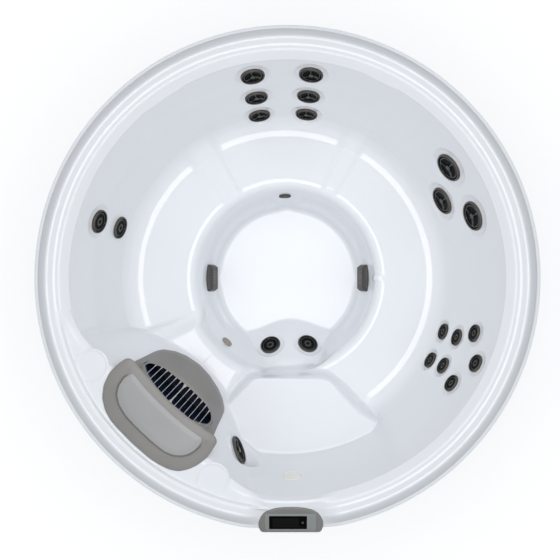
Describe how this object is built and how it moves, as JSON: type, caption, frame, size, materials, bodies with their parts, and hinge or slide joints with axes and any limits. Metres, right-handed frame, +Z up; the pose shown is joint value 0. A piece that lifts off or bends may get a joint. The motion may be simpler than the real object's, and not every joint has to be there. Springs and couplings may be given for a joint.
{
  "type": "hot tub",
  "caption": "Round acrylic hot tub with moulded seats, footwell, swivelling jets, filter block with lift-off lid, cup recesses and a rim control panel.",
  "frame": {"origin": "centre of the underside of the base pan", "axes": "+Z up; -Y towards the control panel; +X to the right in the picture, +Y to its top"},
  "size_m": [1.98, 1.9922, 0.89],
  "materials": {
    "acrylic": "polished thermoformed acrylic, cool white",
    "pan": "moulded black plastic",
    "cabinet": "wood-grained grey-brown plastic boards",
    "timber": "plain pine posts",
    "lid": "satin warm grey, fine grain",
    "skimmer": "satin warm grey, fine grain",
    "pleats": "pleated white filter cloth",
    "bezel": "satin grey",
    "plate": "satin green-grey",
    "screen": "glossy black window",
    "lens": "clouded cream lens",
    "fitting_warm": "satin warm grey",
    "fitting_dark": "dark grey, perforated",
    "pipe": "white pressure pipe",
    "motor": "dark enamel",
    "steel": "stainless tube",
    "box": "moulded grey case",
    "jet_face": "dark pewter finish",
    "jet_rotor": "near-black insert"
  },
  "bodies": {
    "tub": {"acrylic_shell": "acrylic", "base_pan": "pan", "cabinet_panel_right": "cabinet", "cabinet_post_1": "timber", "cabinet_panel_back": "cabinet", "cabinet_post_2": "timber", "cabinet_panel_left": "cabinet", "cabinet_post_3": "timber", "cabinet_panel_front": "cabinet", "cabinet_post_4": "timber", "skimmer_housing": "skimmer", "filter_bucket": "skimmer", "filter_cartridge": "pleats", "control_bezel": "bezel", "control_plate": "plate", "control_screen": "screen", "light_lens": "lens", "return_fitting": "fitting_warm", "ozone_fitting": "fitting_warm", "suction_cover_right": "fitting_dark", "suction_cover_left": "fitting_dark", "plumbing_manifold": "pipe", "suction_pipe": "pipe", "pump_wet_end": "pan", "pump_motor": "motor", "heater": "steel", "control_box": "box"},
    "lid": {"filter_lid": "lid"},
    "drain_cap": {"drain_valve": "pan"},
    "jet_back_1_face": {"jet_back_1": "jet_face"},
    "jet_back_1_spinner": {"jet_back_1_rotor": "jet_rotor"},
    "jet_back_2_face": {"jet_back_2": "jet_face"},
    "jet_back_2_spinner": {"jet_back_2_rotor": "jet_rotor"},
    "jet_back_3_face": {"jet_back_3": "jet_face"},
    "jet_back_3_spinner": {"jet_back_3_rotor": "jet_rotor"},
    "jet_back_4_face": {"jet_back_4": "jet_face"},
    "jet_back_4_spinner": {"jet_back_4_rotor": "jet_rotor"},
    "jet_back_5_face": {"jet_back_5": "jet_face"},
    "jet_back_5_spinner": {"jet_back_5_rotor": "jet_rotor"},
    "jet_back_6_face": {"jet_back_6": "jet_face"},
    "jet_back_6_spinner": {"jet_back_6_rotor": "jet_rotor"},
    "jet_right_1_face": {"jet_right_1": "jet_face"},
    "jet_right_1_spinner": {"jet_right_1_rotor": "jet_rotor"},
    "jet_right_2_face": {"jet_right_2": "jet_face"},
    "jet_right_2_spinner": {"jet_right_2_rotor": "jet_rotor"},
    "jet_right_3_face": {"jet_right_3": "jet_face"},
    "jet_right_3_spinner": {"jet_right_3_rotor": "jet_rotor"},
    "jet_lumbar_1_face": {"jet_lumbar_1": "jet_face"},
    "jet_lumbar_2_face": {"jet_lumbar_2": "jet_face"},
    "jet_lumbar_3_face": {"jet_lumbar_3": "jet_face"},
    "jet_lumbar_4_face": {"jet_lumbar_4": "jet_face"},
    "jet_lumbar_5_face": {"jet_lumbar_5": "jet_face"},
    "jet_lumbar_6_face": {"jet_lumbar_6": "jet_face"},
    "jet_lumbar_7_face": {"jet_lumbar_7": "jet_face"},
    "jet_left_1_face": {"jet_left_1": "jet_face"},
    "jet_left_2_face": {"jet_left_2": "jet_face"},
    "jet_side_1_face": {"jet_side_1": "jet_face"},
    "jet_side_1_spinner": {"jet_side_1_rotor": "jet_rotor"},
    "jet_foot_1_face": {"jet_foot_1": "jet_face"},
    "jet_foot_2_face": {"jet_foot_2": "jet_face"}
  },
  "joints": [
    {"name": "filter_lid_lift", "type": "slide", "parent": "tub", "child": "lid", "axis": [0, 0, 1], "range_m": [0, 0.15]},
    {"name": "drain_valve_turn", "type": "hinge", "parent": "tub", "child": "drain_cap", "pos_m": [0.41161, -0.84393, 0.085], "axis": [0.4384, -0.8988, 0], "range_deg": [0, 90]},
    {"name": "jet_back_1_turn", "type": "hinge", "parent": "tub", "child": "jet_back_1_face", "pos_m": [-0.14148, 0.81907, 0.75955], "axis": [0.1632, -0.9448, 0.2842], "range_deg": [0, 90]},
    {"name": "jet_back_1_spin", "type": "hinge", "parent": "jet_back_1_face", "child": "jet_back_1_spinner", "pos_m": [-0.14148, 0.81907, 0.75955], "axis": [0.1632, -0.9448, 0.2842], "continuous": true},
    {"name": "jet_back_2_turn", "type": "hinge", "parent": "tub", "child": "jet_back_2_face", "pos_m": [0.09554, 0.82569, 0.75955], "axis": [-0.1102, -0.9524, 0.2842], "range_deg": [0, 90]},
    {"name": "jet_back_2_spin", "type": "hinge", "parent": "jet_back_2_face", "child": "jet_back_2_spinner", "pos_m": [0.09554, 0.82569, 0.75955], "axis": [-0.1102, -0.9524, 0.2842], "continuous": true},
    {"name": "jet_back_3_turn", "type": "hinge", "parent": "tub", "child": "jet_back_3_face", "pos_m": [-0.13389, 0.77514, 0.59167], "axis": [0.1654, -0.9574, 0.2367], "range_deg": [0, 90]},
    {"name": "jet_back_3_spin", "type": "hinge", "parent": "jet_back_3_face", "child": "jet_back_3_spinner", "pos_m": [-0.13389, 0.77514, 0.59167], "axis": [0.1654, -0.9574, 0.2367], "continuous": true},
    {"name": "jet_back_4_turn", "type": "hinge", "parent": "tub", "child": "jet_back_4_face", "pos_m": [0.09041, 0.7814, 0.59167], "axis": [-0.1117, -0.9652, 0.2367], "range_deg": [0, 90]},
    {"name": "jet_back_4_spin", "type": "hinge", "parent": "jet_back_4_face", "child": "jet_back_4_spinner", "pos_m": [0.09041, 0.7814, 0.59167], "axis": [-0.1117, -0.9652, 0.2367], "continuous": true},
    {"name": "jet_back_5_turn", "type": "hinge", "parent": "tub", "child": "jet_back_5_face", "pos_m": [-0.12717, 0.73624, 0.4296], "axis": [0.1654, -0.9574, 0.2367], "range_deg": [0, 90]},
    {"name": "jet_back_5_spin", "type": "hinge", "parent": "jet_back_5_face", "child": "jet_back_5_spinner", "pos_m": [-0.12717, 0.73624, 0.4296], "axis": [0.1654, -0.9574, 0.2367], "continuous": true},
    {"name": "jet_back_6_turn", "type": "hinge", "parent": "tub", "child": "jet_back_6_face", "pos_m": [0.08587, 0.74219, 0.4296], "axis": [-0.1117, -0.9652, 0.2367], "range_deg": [0, 90]},
    {"name": "jet_back_6_spin", "type": "hinge", "parent": "jet_back_6_face", "child": "jet_back_6_spinner", "pos_m": [0.08587, 0.74219, 0.4296], "axis": [-0.1117, -0.9652, 0.2367], "continuous": true},
    {"name": "jet_right_1_turn", "type": "hinge", "parent": "tub", "child": "jet_right_1_face", "pos_m": [0.66995, 0.45873, 0.69461], "axis": [-0.796, -0.545, 0.2633], "range_deg": [0, 90]},
    {"name": "jet_right_1_spin", "type": "hinge", "parent": "jet_right_1_face", "child": "jet_right_1_spinner", "pos_m": [0.66995, 0.45873, 0.69461], "axis": [-0.796, -0.545, 0.2633], "continuous": true},
    {"name": "jet_right_2_turn", "type": "hinge", "parent": "tub", "child": "jet_right_2_face", "pos_m": [0.76999, 0.25764, 0.69461], "axis": [-0.9149, -0.3061, 0.2633], "range_deg": [0, 90]},
    {"name": "jet_right_2_spin", "type": "hinge", "parent": "jet_right_2_face", "child": "jet_right_2_spinner", "pos_m": [0.76999, 0.25764, 0.69461], "axis": [-0.9149, -0.3061, 0.2633], "continuous": true},
    {"name": "jet_right_3_turn", "type": "hinge", "parent": "tub", "child": "jet_right_3_face", "pos_m": [0.685, 0.34153, 0.50463], "axis": [-0.8695, -0.4335, 0.2367], "range_deg": [0, 90]},
    {"name": "jet_right_3_spin", "type": "hinge", "parent": "jet_right_3_face", "child": "jet_right_3_spinner", "pos_m": [0.685, 0.34153, 0.50463], "axis": [-0.8695, -0.4335, 0.2367], "continuous": true},
    {"name": "jet_lumbar_1_turn", "type": "hinge", "parent": "tub", "child": "jet_lumbar_1_face", "pos_m": [0.70643, -0.24324, 0.4296], "axis": [-0.9187, 0.3163, 0.2367], "range_deg": [0, 90]},
    {"name": "jet_lumbar_2_turn", "type": "hinge", "parent": "tub", "child": "jet_lumbar_2_face", "pos_m": [0.73574, -0.25765, 0.56266], "axis": [-0.917, 0.3211, 0.2367], "range_deg": [0, 90]},
    {"name": "jet_lumbar_3_turn", "type": "hinge", "parent": "tub", "child": "jet_lumbar_3_face", "pos_m": [0.77766, -0.23035, 0.69158], "axis": [-0.9254, 0.2741, 0.2616], "range_deg": [0, 90]},
    {"name": "jet_lumbar_4_turn", "type": "hinge", "parent": "tub", "child": "jet_lumbar_4_face", "pos_m": [0.64769, -0.37244, 0.4296], "axis": [-0.8423, 0.4843, 0.2367], "range_deg": [0, 90]},
    {"name": "jet_lumbar_5_turn", "type": "hinge", "parent": "tub", "child": "jet_lumbar_5_face", "pos_m": [0.67766, -0.38184, 0.55563], "axis": [-0.8465, 0.477, 0.2367], "range_deg": [0, 90]},
    {"name": "jet_lumbar_6_turn", "type": "hinge", "parent": "tub", "child": "jet_lumbar_6_face", "pos_m": [0.76102, -0.34521, 0.77459], "axis": [-0.8731, 0.3961, 0.2842], "range_deg": [0, 90]},
    {"name": "jet_lumbar_7_turn", "type": "hinge", "parent": "tub", "child": "jet_lumbar_7_face", "pos_m": [0.68227, -0.43801, 0.6906], "axis": [-0.8123, 0.5215, 0.2611], "range_deg": [0, 90]},
    {"name": "jet_left_1_turn", "type": "hinge", "parent": "tub", "child": "jet_left_1_face", "pos_m": [-0.77998, 0.234, 0.70261], "axis": [0.9229, -0.2769, 0.2677], "range_deg": [0, 90]},
    {"name": "jet_left_2_turn", "type": "hinge", "parent": "tub", "child": "jet_left_2_face", "pos_m": [-0.7371, 0.22114, 0.52163], "axis": [0.9306, -0.2792, 0.2367], "range_deg": [0, 90]},
    {"name": "jet_side_1_turn", "type": "hinge", "parent": "tub", "child": "jet_side_1_face", "pos_m": [-0.21297, -0.7429, 0.57485], "axis": [0.9239, 0.3639, 0.1184], "range_deg": [0, 90]},
    {"name": "jet_side_1_spin", "type": "hinge", "parent": "jet_side_1_face", "child": "jet_side_1_spinner", "pos_m": [-0.21297, -0.7429, 0.57485], "axis": [0.9239, 0.3639, 0.1184], "continuous": true},
    {"name": "jet_foot_1_turn", "type": "hinge", "parent": "tub", "child": "jet_foot_1_face", "pos_m": [-0.08317, -0.3302, 0.15127], "axis": [-0.2376, 0.6528, 0.7193], "range_deg": [0, 90]},
    {"name": "jet_foot_2_turn", "type": "hinge", "parent": "tub", "child": "jet_foot_2_face", "pos_m": [0.09894, -0.32436, 0.152], "axis": [0.2376, 0.6528, 0.7193], "range_deg": [0, 90]}
  ]
}
